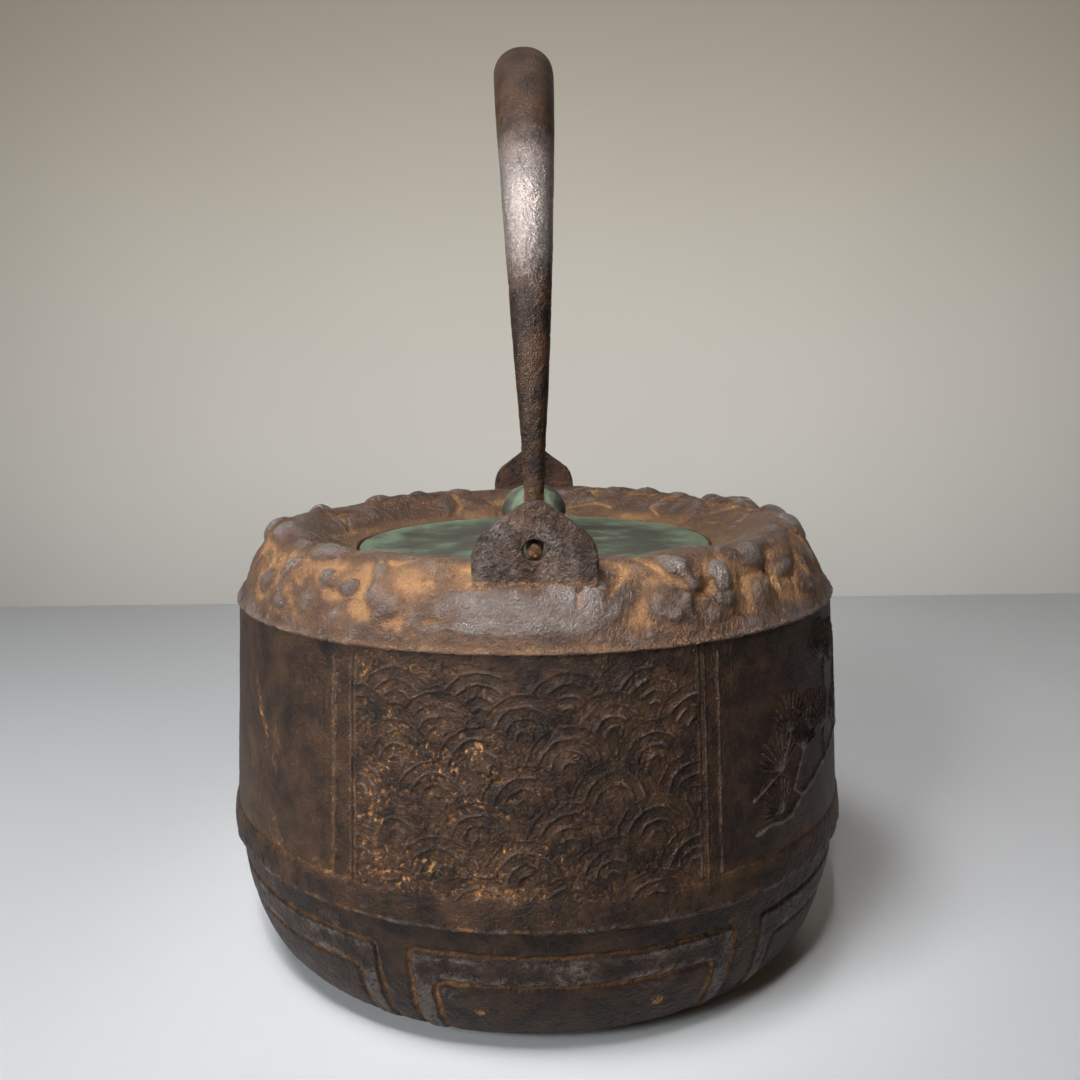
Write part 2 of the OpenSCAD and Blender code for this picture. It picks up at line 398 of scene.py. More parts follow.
# The pine: each branch's half width and points (angle, height); each tuft's angle, height,
# direction and reach
BRANCHES = (
    (1.5, [(36.9, 51.4), (40.2, 52.6), (43.5, 52), (46.3, 52.6), (49.6, 56.1), (52.9, 57.3),
           (57, 59.8), (61.2, 61.1), (65.3, 62.6), (70, 64.6), (78, 63), (88, 67), (99, 66),
           (110, 71), (121, 70), (131, 76)]),
    (1.0, [(36.5, 60.1), (41.4, 63.9), (43.5, 65.1), (46.3, 73.9)]),
    (1.0, [(49.6, 56.1), (47.2, 58.9), (50.5, 67), (52.9, 72)]),
    (1.1, [(61.2, 61.1), (60.5, 68), (63, 76), (61.5, 85)]),
    (1.0, [(78, 63), (82, 72), (79, 80), (84, 88)]),
    (1.0, [(99, 66), (103, 75), (101, 83)]),
    (1.0, [(110, 71), (116, 80), (122, 84)]),
)
TUFTS = (
    (43.5, 65.1, 100, 8), (50.5, 67.6, 75, 8.5), (43.5, 54.5, 120, 7), (59.5, 69.5, 95, 8),
    (59.1, 88, 80, 8), (62.2, 86, 60, 8.5), (65.3, 87, 40, 8), (46.3, 74, 90, 7.5),
    (53, 72, 60, 7.5), (70, 66, 80, 8), (79, 80, 100, 8), (84, 88, 70, 7), (88, 68, 80, 8),
    (101, 83, 95, 8), (103, 75, 50, 7), (110, 72, 100, 7.5), (122, 84, 60, 8), (131, 76, 80, 8),
    (73, 73, 60, 7), (93, 76, 110, 7),
)
NEEDLES = 11
NEEDLE_TURN = 13
# A rust streak and a blot on the left side of the wall: angle, height
STREAK = [(a * WALL_ARC, z) for a, z in ((-56.2, 85), (-54.5, 78), (-52, 71.5), (-49.1, 64.9))]
BLOT = (-49.6, 52)


def pine(angle, z):
    """Height of a pine branch with tufts of needles."""
    a = angle * WALL_ARC
    height = np.zeros_like(a)
    for half, points in BRANCHES:
        d = near_line(a, z, [(p * WALL_ARC, q) for p, q in points])
        knots = 0.75 + 0.25 * np.sin(0.9 * a + 1.7 * z)
        height = np.maximum(height, 0.62 * stroke(d, 0.62 * half * knots))
    for middle, low, way, reach in TUFTS:
        root = np.array([middle * WALL_ARC, low])
        box = np.hypot(a - root[0], z - root[1]) < 1.4 * reach + 1
        if not box.any():
            continue
        tuft = np.zeros(int(box.sum()))
        for k in range(NEEDLES):
            off = k - (NEEDLES - 1) / 2
            turn = math.radians(way + off * NEEDLE_TURN)
            end = root + (1.35 * reach - 0.12 * off**2) * np.array([math.cos(turn), math.sin(turn)])
            tuft = np.maximum(tuft, stroke(near_line(a[box], z[box], [root, end]), 0.3))
        height[box] = np.maximum(height[box], 0.62 * tuft)
    return height


def strap_lines(angle, z):
    """Thin raised lines either side of a flat strap, with a groove next to them."""
    height = np.zeros_like(angle + z)
    for border, near, far in STRAPS:
        for at, tall in ((border, 0.45), (near, 0.5), (far, 0.55)):
            height = height + tall * stroke((angle - at) * WALL_ARC, 0.42)
        for at in ((border + near) / 2, near + 0.36 * np.sign(far - near), far + (far - near) / 4):
            height = height - 0.3 * stroke((angle - at) * WALL_ARC, 0.4)
    return height * ramp(z, 44, 46) * ramp(-z, -99.6, -98.2)


def between(angle, low, high):
    """1 between two angles, with soft ends."""
    return ramp(angle, low, low + 0.4) * ramp(-angle, -high, -high + 0.4)


def wall_relief(angles, heights):
    """Lift, rust and wear of the wall for angles (columns) and heights (rows)."""
    angle, z = np.broadcast_arrays(angles[None] + 0.0, heights[:, None])
    points = turned(np.stack([WALL_LOW_R + 0 * heights, heights], -1), angles)
    worn = patches(points, 16, 3)
    grain = layered(points, 2.4, 5, 3, 0.6)
    lift = 0.1 * layered(points, 11, 7, 2) + 0.06 * grain
    top = ramp(-z, -99.4, -98.6)
    front = between(angle, *FRONT_PANEL)
    back = between(angle, *BACK_PANEL)
    branch = pine(angle, z) * between(angle, *PINE_PANEL)
    warp = layered(points, 6, 9, 2)
    waves = wave_scales((angle - WAVE_MIDDLE) * WALL_ARC, z, warp) * front
    waves = waves + wave_scales((angle - 180) * WALL_ARC, z, warp) * back
    patchy = 0.35 + 0.65 * ramp(noise(points, 5, 10) + 0.6 * noise(points, 2, 12), -0.55, 0.35)
    lift = lift + waves * patchy * top
    lift = lift + branch * (0.75 + 0.3 * worn) * top
    lift = lift + strap_lines(angle, z) * (0.7 + 0.4 * patchy)
    pits = ramp(billows(points, 2.2, 11) + 0.45 * grain, 0.38, 0.75)
    pits = pits * (0.25 + 1.2 * np.maximum(front, back) * ramp(0.9 - patchy, 0, 0.4))
    streak = stroke(near_line(angle * WALL_ARC + 0.8 * grain, z, STREAK), 1.5)
    over = 0.5 * (z - BLOT[1])
    blot = stroke(np.hypot((angle - BLOT[0]) * WALL_ARC + over, over), 1.7)
    left = ramp(-angle, -8, 38) * (0.45 + 0.55 * ramp(-z, -90, -50))
    foot = ramp(-z, -50, -45.5)
    rust = 0.12 + 0.16 * left + 0.2 * ramp(worn, 0.55, 0.95) + 0.3 * foot * worn
    rust = rust + 0.5 * streak * ramp(grain, -0.5, 0.4) + 0.5 * blot * ramp(grain, -0.6, 0.3)
    sides = 0.35 + 0.65 * ramp(-angle + 25 * noise(points, 14, 17) - 0.4 * (z - 70), -18, 22)
    rough = np.maximum(front * sides, 0.7 * back)
    holes = crust(points, 1.4, 13, np.clip(0.12 + 0.85 * rough * (1.25 - 0.6 * patchy), 0, 1))
    lift = lift - 0.12 * pits - 0.34 * holes + 0.035 * layered(points, 1.1, 19, 2)
    dust = holes * ramp(noise(points, 1.0, 21), -0.1, 0.35) * ramp(noise(points, 9, 22), -0.5, 0.3)
    rust = rust + 0.6 * dust * (0.35 + 0.65 * rough)
    return lift, np.clip(rust, 0, 1.2), 0.25 * worn + 0.45 * branch


def wall_piece(name, start, stop, step):
    """One quarter of the wall, from strap to strap."""
    columns = int(math.radians(stop - start) * WALL_LOW_R / step)
    angles = np.linspace(start, stop, columns)
    line = resampled([[WALL_LOW_R, BELT_TOP_Z - 1], [WALL_HIGH_R, LEDGE_Z + 0.4]], step)
    inside = [[WALL_HIGH_R - WALL_T, LEDGE_Z + 0.4], [WALL_LOW_R - WALL_T, BELT_TOP_Z - 1]]
    relief = wall_relief(angles, line[:, 1])
    return on_kettle(cast(name, line, resampled(inside, 4), angles, relief))


wall = [
    wall_piece("wall_front", -36, 32, 0.3),
    wall_piece("wall_right", 32, 145, 0.42),
    wall_piece("wall_back", 145, 214, 0.42),
    wall_piece("wall_left", -146, -36, 0.42),
]

# ---- bowl and belt

BOWL_CURVE = ((BASE_R, 0), (BASE_R + 19.4, 1), (BOWL_TOP_R - 2.7, 15.7), (BOWL_TOP_R, BELT_Z))
FRAME_AT = 6.3
FRAME_PITCH = 60
FRAME_ARC = math.radians(86)
FRAME_CORNER = 2.2
# The two lines of a frame: half width in degrees, top
OUTER_FRAME = (27.2, 29.6)
INNER_FRAME = (22.9, 21.2)
CHAPLET_AT = (-9.5, 19.5)
CHAPLET_Z = 13.6
BELT_LINE = (
    *shifted(BELT_R, BELT_Z, ((-2.4, -0.1), (-0.7, -0.1), (-0.05, 0.35), (0.1, 1.1), (-0.2, 3.6),
                              (-0.55, 6.6), (-0.85, 7.8))),
    *shifted(BELT_R, BELT_TOP_Z, ((-1.3, 0.1), (-3, 0))),
)


def frame_distance(angle, z, half, top):
    """Distance to an upside-down U with round corners, negative inside it."""
    across = np.abs((angle - FRAME_AT + FRAME_PITCH / 2) % FRAME_PITCH - FRAME_PITCH / 2)
    u = (across - half) * FRAME_ARC + FRAME_CORNER
    v = z - top + FRAME_CORNER
    round_part = np.hypot(np.maximum(u, 0), np.maximum(v, 0))
    return round_part + np.minimum(np.maximum(u, v), 0) - FRAME_CORNER


def bowl_relief(angles, heights):
    """Lift, rust and wear of the bowl."""
    angle, z = np.broadcast_arrays(angles[None] + 0.0, heights[:, None])
    points = turned(np.stack([84 + 0 * heights, heights], -1), angles)
    worn = patches(points, 14, 23)
    grain = layered(points, 2.6, 25, 3, 0.6)
    lift = 0.12 * layered(points, 12, 27, 2) + 0.07 * grain
    shallow = 0.75 + 0.25 * worn
    wobble = 0.35 * layered(points, 5, 33, 2)
    outer = frame_distance(angle, z, *OUTER_FRAME) + wobble
    inner = frame_distance(angle, z, *INNER_FRAME) + 1.3 * wobble
    legs = ramp(-z, -25, -18)
    lift = lift - 1.0 * shallow * stroke(outer, 0.42 + 0.3 * legs)
    lift = lift - 0.9 * shallow * stroke(inner, 0.38 + 0.35 * legs)
    lift = lift + 0.25 * ramp(-outer, 0.4, 1.4) * ramp(inner, 0.4, 1.4)
    line_rust = np.maximum(stroke(outer - 0.4, 0.9), stroke(inner - 0.4, 1.0))
    broken = ramp(noise(points, 3, 35) + 0.8 * noise(points, 1.3, 36), -0.35, 0.5)
    line_rust = line_rust * broken * (0.2 + 0.5 * legs) * (0.3 + 0.8 * worn)
    pits = ramp(billows(points, 3.6, 31) + 0.35 * grain, 0.5, 0.9)
    spots = 0
    for at in CHAPLET_AT:
        turn = (angle - at + 60) % 120 - 60
        spots = spots + stroke(np.hypot(turn * ROUND_ARC, z - CHAPLET_Z), 1.7)
    rust = 0.06 + 0.2 * ramp(worn, 0.6, 0.95) + 0.75 * line_rust + 0.4 * spots
    holes = crust(points, 1.3, 37, 0.4 + 0.35 * worn)
    lift = lift - 0.13 * pits - 0.2 * holes + 0.05 * layered(points, 1.2, 39, 2)
    keep = ramp(z, 0.6, 3)
    return lift * keep, np.clip(rust, 0, 1.2), 0.15 + 0.32 * worn


def bowl_piece(name, start, stop):
    """Half of the bowl with its floor."""
    angles = bent_angles(start, stop, STEP, 0.62, 86)
    line = resampled(np.vstack([cubic(*BOWL_CURVE), [[BOWL_TOP_R - 0.2, BELT_Z + 1.6]]]), STEP)
    up = WALL_T - 1
    inside = cubic(*(np.array(BOWL_CURVE) - [[up, -WALL_T], [up, -WALL_T], [up, -1.4], [up, 0]]))
    floor = [[BASE_R - up - 20, WALL_T], [0.5, WALL_T], [0.5, 0.5], [40, 0.5], [BASE_R - 3, 0.4],
             [BASE_R - 2, 0]]
    back = np.vstack([[[BOWL_TOP_R - up, BELT_Z + 1.6]], resampled(inside[::-1], 4), floor])
    return on_kettle(cast(name, line, back, angles, bowl_relief(angles, line[:, 1])))


def belt_piece():
    """The round-edged band where the two halves of the mould met."""
    angles = bent_angles(-180, 180, 0.4, 0.8, 90)[:-1]
    line = resampled(BELT_LINE, STEP)
    points = turned(line, angles)
    worn = patches(points, 13, 41)
    grain = layered(points, 2.3, 43, 3, 0.6)
    lift = 0.13 * layered(points, 9, 45, 2) + 0.09 * grain
    lift = lift - 0.22 * ramp(billows(points, 3.4, 47) + 0.3 * grain, 0.5, 0.9)
    under = ramp(-line[:, 1], -BELT_Z - 0.5, -BELT_Z - 0.1)[:, None]
    upper = ramp(line[:, 1], BELT_Z + 4.5, BELT_TOP_Z)[:, None]
    lip = stroke(line[:, 1] - BELT_Z - 0.9, 0.8)[:, None]
    chips = ramp(noise(points, 4, 49), -0.15, 0.3)
    lift = lift - 0.4 * lip * (1 - chips) - 0.2 * crust(points, 1.4, 48, 0.3 + 0.4 * worn)
    rust = 0.1 + 0.3 * ramp(worn, 0.5, 0.9) + 0.1 * under + 0.4 * upper * worn
    wear = 0.15 + 0.2 * worn + 0.45 * lip * chips
    back = [[BELT_R - 4, BELT_TOP_Z], [BELT_R - 4, BELT_Z]]
    return on_kettle(cast("belt", line, back, angles, (lift, rust, wear), True))


bowl = [bowl_piece("bowl_front", -90, 90), bowl_piece("bowl_back", 90, 270), belt_piece()]

# ---- shoulder

SHOULDER_CURVE = (
    *shifted(WALL_HIGH_R, LEDGE_Z, ((-1.2, -0.9), (0.2, -0.75), (0.8, -0.35), (0.75, 0.1),
                                    (0.2, 1), (-0.2, 3.4))),
    *shifted(WALL_HIGH_R, CREST_Z, ((-1.6, -9), (-4.2, -4), (-8.2, -0.9), (-13, 0), (-19, -1),
                                    (-25.5, -4.2))),
    *shifted(RECESS_R, LID_TOP_Z, ((2.2, 0.6), (0.2, -0.1))),
)
CEILING = (
    (RECESS_R, LID_TOP_Z - 0.8),
    *shifted(RECESS_R, SEAT_Z, ((0, 0.2), (-0.2, 0))),
    *shifted(MOUTH_R, SEAT_Z, ((0.3, 0), (0, -0.3), (0, -3.5), (8, -1.6), (18, 2.2), (25, 3))),
    *shifted(WALL_HIGH_R, SEAT_Z, ((-7.4, -1.2), (-4.2, -6.5))),
    (WALL_HIGH_R - WALL_T + 0.3, LEDGE_Z - 3),
)
# Lumps placed one by one: angle, distance up the profile, half width along, half width up, height
LUMPS = (
    (-39.5, 15.8, 3.2, 3, 2.0), (-33, 13.4, 3, 2.8, 1.6), (-42.5, 8.3, 2.8, 2.2, 1.0),
    (-51, 17, 7, 6, 1.8), (-60, 10, 8, 6, 1.4), (-25, 12, 7, 8, 1.0), (-44, 24, 7, 5, 1.8),
    (33.2, 15.6, 4.6, 5.6, 2.6), (33, 9.4, 4, 2.6, 1.2), (24.6, 19, 4.4, 4, 2.0),
    (20.5, 9.5, 7, 7, 1.0), (45, 21, 8, 6, 1.8), (44, 9, 7, 6, 0.9),
    (54, 16, 9, 6, 1.9), (58, 7.2, 7, 4, 0.9), (68, 15, 10, 8, 2.2),
    (-88, 20, 10, 7, 3.4), (-72, 25, 9, 6, 2.6), (-106, 17, 9, 7, 2.4), (80, 22, 10, 8, 3.0),
    (97, 21, 10, 8, 3.0), (112, 25, 9, 6, 2.6), (124, 24, 5, 5, 2.0), (146, 26, 5, 5, 1.8),
    (-108, 26, 6, 5, 2.0), (-132, 25, 5, 5, 1.8), (-145, 26, 4, 4, 1.4), (-158, 27, 5, 4, 1.4),
    (136, 24, 5, 4, 1.6), (116, 18, 5, 6, 1.6),
)
HOLLOWS = (
    (29.6, 12.8, 2.6, 3.2, 1.7), (-36.6, 10.6, 5, 3, 1.0), (6.6, 13.2, 1.2, 4.4, 0.9),
    (-29.5, 7.6, 5, 3.2, 0.8), (48, 13, 2.6, 6, 1.1), (-55, 21, 3.6, 5, 0.9),
    (61, 12, 2.4, 6, 1), (39.5, 12, 2, 5, 1.1), (73, 19, 3, 6, 1.1), (-16.5, 6.4, 2.4, 1.1, 0.7),
)
# Height, half width and points of each ridge
RIDGES = (
    (0.9, 2.4, ((-30, 24), (-27.5, 19), (-27.5, 14), (-23.5, 9), (-28, 4.5))),
    (1.1, 1.9, ((22.5, 21.5), (24.6, 17.5), (26, 12.5), (22.6, 7))),
    (0.9, 2.2, ((-49, 21), (-53, 13), (-50, 6))),
)
# How far the rocks lie below the casting's rough profile away from the lugs, going up it
SUNK_AT = (0, 2, 4, 8, 12, 16, 20, 24, 27)
SUNK_BY = (0, 0.5, 1.6, 2.9, 3.6, 3.9, 3.0, 1.1, 0)
# The worn band below the near lug, its silver partly a painted highlight: its angles, then how far
# up the profile it starts and ends
SMOOTH_SHEEN_BAND = (-17, 11.5, 3.2, 14.5)


def lump_field(angle, s, radius, lumps):
    """Highest of many round lumps, so that sharp creases lie where they meet."""
    height = np.zeros_like(angle)
    for at, up, wide, tall, high in lumps:
        turn = (angle - at + 180) % 360 - 180
        d = (turn * np.radians(radius) / wide) ** 2 + ((s - up) / tall) ** 2
        height = np.maximum(height, high * np.clip(1 - d, 0, 1) ** (0.6 + 0.1 * wide))
    return height


def shoulder_relief(angles, line):
    """Lift, rust and wear of the rocky shoulder; the wear on its smooth band is partly a painted
    highlight.
    """
    run = run_along(line)
    s_line = run - run[np.argmin(np.abs(line[:40, 1] - LEDGE_Z - 0.7))] + 0.9
    angle, s = np.broadcast_arrays(angles[None] + 0.0, s_line[:, None])
    radius = line[:, 0][:, None] + 0 * angle
    points = turned(line, angles)
    warp = 2.2 * noise(points, 7, 51)
    worn = patches(points, 12, 53)
    grain = layered(points, 2.2, 55, 3, 0.6)
    low, high, foot, head = SMOOTH_SHEEN_BAND
    smooth = ramp(angle + 2.5 * warp, low - 3, low + 5)
    smooth = smooth * ramp(-angle - 2 * warp, -high - 3, -high + 5)
    smooth = smooth * ramp(s, foot - 1, foot + 2) * ramp(-s - warp, -head - 3, -head + 3)
    bent = points + 4 * noise(points, 15, 57)[..., None]
    rock = 1.2 * noise(bent, 22, 61) + 0.9 * noise(bent, 10, 62) + 0.35 * noise(bent, 4.5, 63)
    rock = rock - 0.8 * stroke(noise(bent, 19, 65), 0.09) * ramp(noise(points, 30, 66), -0.3, 0.2)
    lift = rock * (1 - 0.8 * smooth) + 0.3 * smooth
    spot, up = angle + warp / 4, s + 0.4 * warp
    placed = lump_field(spot, up, radius, LUMPS)
    lift = lift * (1 - 0.5 * ramp(placed, 0.05, 1)) + 0.9 * placed
    lift = lift - lump_field(spot, up, radius, HOLLOWS)
    for tall, half, points_of in RIDGES:
        d = near_line(spot * ROUND_ARC, up, [(p * ROUND_ARC, q) for p, q in points_of])
        lift = lift + tall * stroke(d, half)
    from_lug = np.minimum(np.abs(angle), 360 - np.abs(angle))
    from_lug = np.minimum(from_lug, np.abs(from_lug - 180))
    sunk = np.interp(s, SUNK_AT, SUNK_BY) * ramp(from_lug, 16, 52)
    skirt = ramp(-s + 0.4 * warp, -6.4, -2.6)
    lift = lift * (1 - skirt) + skirt * 0.1 * grain - sunk
    recess = ramp(-radius, -RECESS_R - 8, -RECESS_R - 1.5)
    lift = lift * (1 - recess) + recess * (0.05 * grain)
    lift = lift + 0.13 * grain * (1 - 0.4 * smooth)
    lug = ramp(np.abs(points[..., 1]), 66, 70) * ramp(-np.abs(points[..., 0]), -48, -44)
    room = np.maximum(CREST_Z + 0.9 - points[..., 2], 0.2) + 2.4 * (1 - lug)
    lift = np.minimum(lift, np.where(s > 14, room, 9))
    hollow = ramp(blurred(lift, 16, False) - lift, -0.7, 1.1)
    side = ramp(-angle, 8, 30) * ramp(angle, -140, -100)
    wedge = stroke(np.hypot((angle - 17.5) * 1.47, s - 18.5), 3.5)
    wedge = wedge + 1.3 * stroke(np.hypot((angle + 21 + warp) * 1.2, s - 15 + warp), 9)
    foot_line = stroke(s - 20.5, 2.2) * ramp(-np.abs(angle), -19, -13)
    edge = stroke(s - 0.3, 0.9)
    rust = 0.04 + 0.58 * hollow * (0.4 + 0.8 * worn) + 0.05 * side + 0.25 * ramp(worn, 0.5, 0.95)
    rust = rust + 0.4 * wedge + 0.5 * foot_line + 0.35 * recess + 0.3 * edge
    # The smooth band's high wear makes it silver, partly a painted highlight
    wear = 0.1 + 0.2 * worn + 0.55 * smooth + 0.35 * ramp(placed, 1, 2.2)
    return lift, np.clip(rust - 0.35 * smooth, 0, 1.1), np.clip(wear - 0.2 * recess, 0, 1.1)


def shoulder_piece(name, start, stop, fine):
    """Half of the shoulder, with the lid's recess and the mouth."""
    angles = np.linspace(start, stop, int(math.radians(stop - start) * WALL_HIGH_R / fine))
    line = rounded_line(SHOULDER_CURVE, STEP)
    return on_kettle(cast(name, line, CEILING, angles, shoulder_relief(angles, line)))


shoulder = [
    shoulder_piece("shoulder_front", -90, 90, 0.4),
    shoulder_piece("shoulder_back", 90, 270, 0.55),
]

# ---- lugs

LUG_T = LUG_HIGH[1] - LUG_LOW[1]
LUG_Y = -(LUG_HIGH[1] + LUG_LOW[1]) / 2
LUG_HALF = LUG_HIGH[0]
LUG_TOP_Z = LUG_HIGH[2]
LUG_FOOT_Z = LUG_LOW[2]
LUG_HOLE_Z = PIN_Z + 0.3
LUG_HOLE_R = 2.45
LUG_EDGE = 1.0
LUG_OUTLINE = (
    *shifted(0, LUG_TOP_Z, ((0, 0), (1.3, -0.1), (2.5, -0.6), (4.5, -1.8), (7.1, -3.8), (10, -6),
                            (12.2, -7.6), (13.4, -9.3), (14.2, -11.6))),
    (LUG_HALF - 0.2, LUG_TOP_Z - 13.6), (LUG_HALF - 0.1, LUG_FOOT_Z + 0.3),
)


def lug_grid():
    """Rings over a lug: from its hole across the face, round the edge and back behind."""
    half = resampled(LUG_OUTLINE, 0.3)
    foot = resampled([[LUG_HALF - 0.1, LUG_FOOT_Z + 0.3], [0, LUG_FOOT_Z + 0.3]], 0.6)
    right = np.vstack([half, foot[1:]])
    outline = np.vstack([right, right[1:-1][::-1] * [-1, 1]])
    middle = np.array([0, LUG_HOLE_Z])
    way = outline - middle
    length = np.linalg.norm(way, axis=1, keepdims=True)
    hole = middle + LUG_HOLE_R * way / length
    half_t = LUG_T / 2
    rings = []
    for t in [0.0, 0.015, 0.04, *np.linspace(0, 1, 40)[2:-1]]:
        flat = hole + (middle + way * (1 - LUG_EDGE / length) - hole) * t
        rings.append((flat, half_t - 0.5 * (1 - min(1, t / 0.05))))
    for turn in np.radians(np.linspace(0, 80, 5)):
        edge = middle + way * (1 - LUG_EDGE * (1 - math.sin(turn)) / length)
        rings.append((edge, half_t - LUG_EDGE * (1 - math.cos(turn))))
    rings.extend((outline, depth) for depth in np.linspace(half_t - LUG_EDGE, 0, 5))
    plane = np.array([ring for ring, _ in rings])
    depth = np.array([d for _, d in rings])[:, None] + np.zeros(len(outline))
    front = np.stack([plane[..., 0], -LUG_Y - depth, plane[..., 1]], -1)
    back = np.stack([plane[..., 0], -LUG_Y + depth, plane[..., 1]], -1)[::-1][1:]
    return np.concatenate([front, back])


def lug_piece(name, node, far, apart):
    """A lug of the casting with soft edges; apart moves its grain."""
    grid = lug_grid()
    normal = normals_from(grid, grid * [0, 0, 1] + [0, -LUG_Y, 0])
    points = grid + [apart, 0, 0]
    grain = layered(points, 1.5, 71, 2, 0.7)
    worn = patches(points, 7, 73)
    lift = 0.08 * layered(points, 6, 75, 2) + 0.1 * grain
    lift = lift - 0.24 * ramp(noise(points, 1.25, 77) + 0.3 * grain, 0.1, 0.6) - 0.12
    grid = grid + normal * lift[..., None]
    grid[..., 1] *= -1 if far else 1
    foot_rust = ramp(-grid[..., 2], -118.6, -116.6)
    near_hole = np.hypot(grid[..., 0], grid[..., 2] - LUG_HOLE_Z)
    rust = 0.12 + 0.9 * foot_rust * (0.4 + 0.6 * worn) + 0.5 * ramp(-near_hole, -3.4, -2.5)
    marks = {
        "relief": standing_out(lift, 4),
        "rust": rust + (0.3 if far else 0) * worn,
        "wear": (0.25 + 0.35 * worn) * (0.3 if far else 1),
    }
    return on_kettle(skin(name, grid, marks), node)


lugs = [
    lug_piece("lug_front", "rear_lug", False, 0),
    lug_piece("lug_back", "spout_lug", True, 400),
]

# ---- spout

SPOUT_PATH = ((0, 80, 75), (0, 101, 81), (0, 108, 95), (0, 118, 107.5))
SPOUT_COLUMNS = 150


def spout_piece():
    """The spout: a curved taper with its bore, open at both ends."""
    path = resampled(cubic(*SPOUT_PATH, 200), 0.6)
    t = np.linspace(0, 1, len(path))
    bore = 10 - 4.4 * t**0.8
    outer = bore + 7 - 4.4 * t**0.6 + 0.7 * np.clip((t - 0.85) / 0.15, 0, 1) ** 2 - 0.25
    body = swept(path, outer, outer, SPOUT_COLUMNS)
    lip = []
    for part in (0.8, 0.55, 0.3, 0.12):
        ring = bore + (outer - bore) * part
        lip.append(swept(path, ring, ring, SPOUT_COLUMNS)[-1])
    inner = swept(path, bore, bore, SPOUT_COLUMNS)[::-1][::3]
    normal = normals_from(body, path)
    grain = layered(body, 2.2, 81, 3, 0.6)
    worn = patches(body, 9, 83)
    lift = 0.12 * layered(body, 7, 85, 2) + 0.1 * grain - 0.1
    body = body + normal * lift[..., None]
    grid = np.concatenate([body, np.array(lip), inner])
    extra = np.zeros((len(lip) + len(inner), SPOUT_COLUMNS))
    marks = {
        "relief": np.vstack([standing_out(lift, 4), extra]),
        "rust": np.vstack([0.15 + 0.4 * ramp(worn, 0.5, 0.95), extra + 0.4]),
        "wear": np.vstack([0.3 * worn, extra]),
    }
    return on_kettle(skin("spout_skin", grid, marks), "spout")


spout = spout_piece()

# ---- handle

BOW_FOOT_Z = BOW_LOW[2]
ARM_Y = 73.7
BOW_TOP_R = BOW_HIGH[0]
BOW_LOW_R = 3.05
BOW_FLAT = 0.92
BOW_LEAN = -1.5
PIN_END_Y = -HOOK_LOW[1]
BEND_R = 2.35


def bow_piece():
    """The thick hollow arch, leaning a little, worn smooth on top and pitted lower down."""
    turn = np.radians(np.linspace(-0.4, 180.4, 1200))
    rise = BOW_HIGH[2] - BOW_TOP_R * BOW_FLAT - BOW_FOOT_Z
    lean = BOW_LEAN * np.clip(np.sin(turn), 0, 1) ** 1.5
    path = np.stack([lean, -ARM_Y * np.cos(turn), BOW_FOOT_Z + rise * np.sin(turn)], -1)
    radius = BOW_LOW_R + (BOW_TOP_R - BOW_LOW_R) * np.clip(np.sin(turn), 0, 1) ** 0.88
    table = resampled(np.hstack([path, radius[:, None]]), 0.5)
    path, radius = table[:, :3], table[:, 3] - 0.12
    grid = swept(path, radius, radius * BOW_FLAT, 110, 2.15)
    normal = normals_from(grid, path)
    grain = layered(grid, 1.7, 91, 3, 0.65)
    worn = patches(grid, 15, 93)
    z = grid[..., 2]
    height = ramp(z, 195, 225)
    pits = ramp(noise(grid, 1.4, 95) + 0.35 * grain, 0.1, 0.6)
    lift = 0.07 * layered(grid, 10, 97, 2) + 0.045 * grain * (1.1 - 0.8 * height)
    lift = lift - 0.2 * pits * (1 - 0.85 * height) * (0.5 + 0.6 * worn)
    low = ramp(-z, -185, -152)
    # Wear from z 168 to 203 gives a silver band that is partly a painted highlight; above 203 the
    # wear is cut back and rust added, so the top stays darker: partly painted shade.
    marks = {
        "relief": standing_out(lift, 4),
        "rust": 0.1 + 0.35 * low * (0.3 + worn) + 0.4 * height * (0.2 + worn),
        "wear": 0.05 + 0.7 * ramp(z, 168, 202) - 0.5 * ramp(z, 203, 226),
    }
    piece = skin("bow", grid + normal * lift[..., None], marks, wrap_rows=False)
    return on_kettle(piece, "handle_bow", "handle")


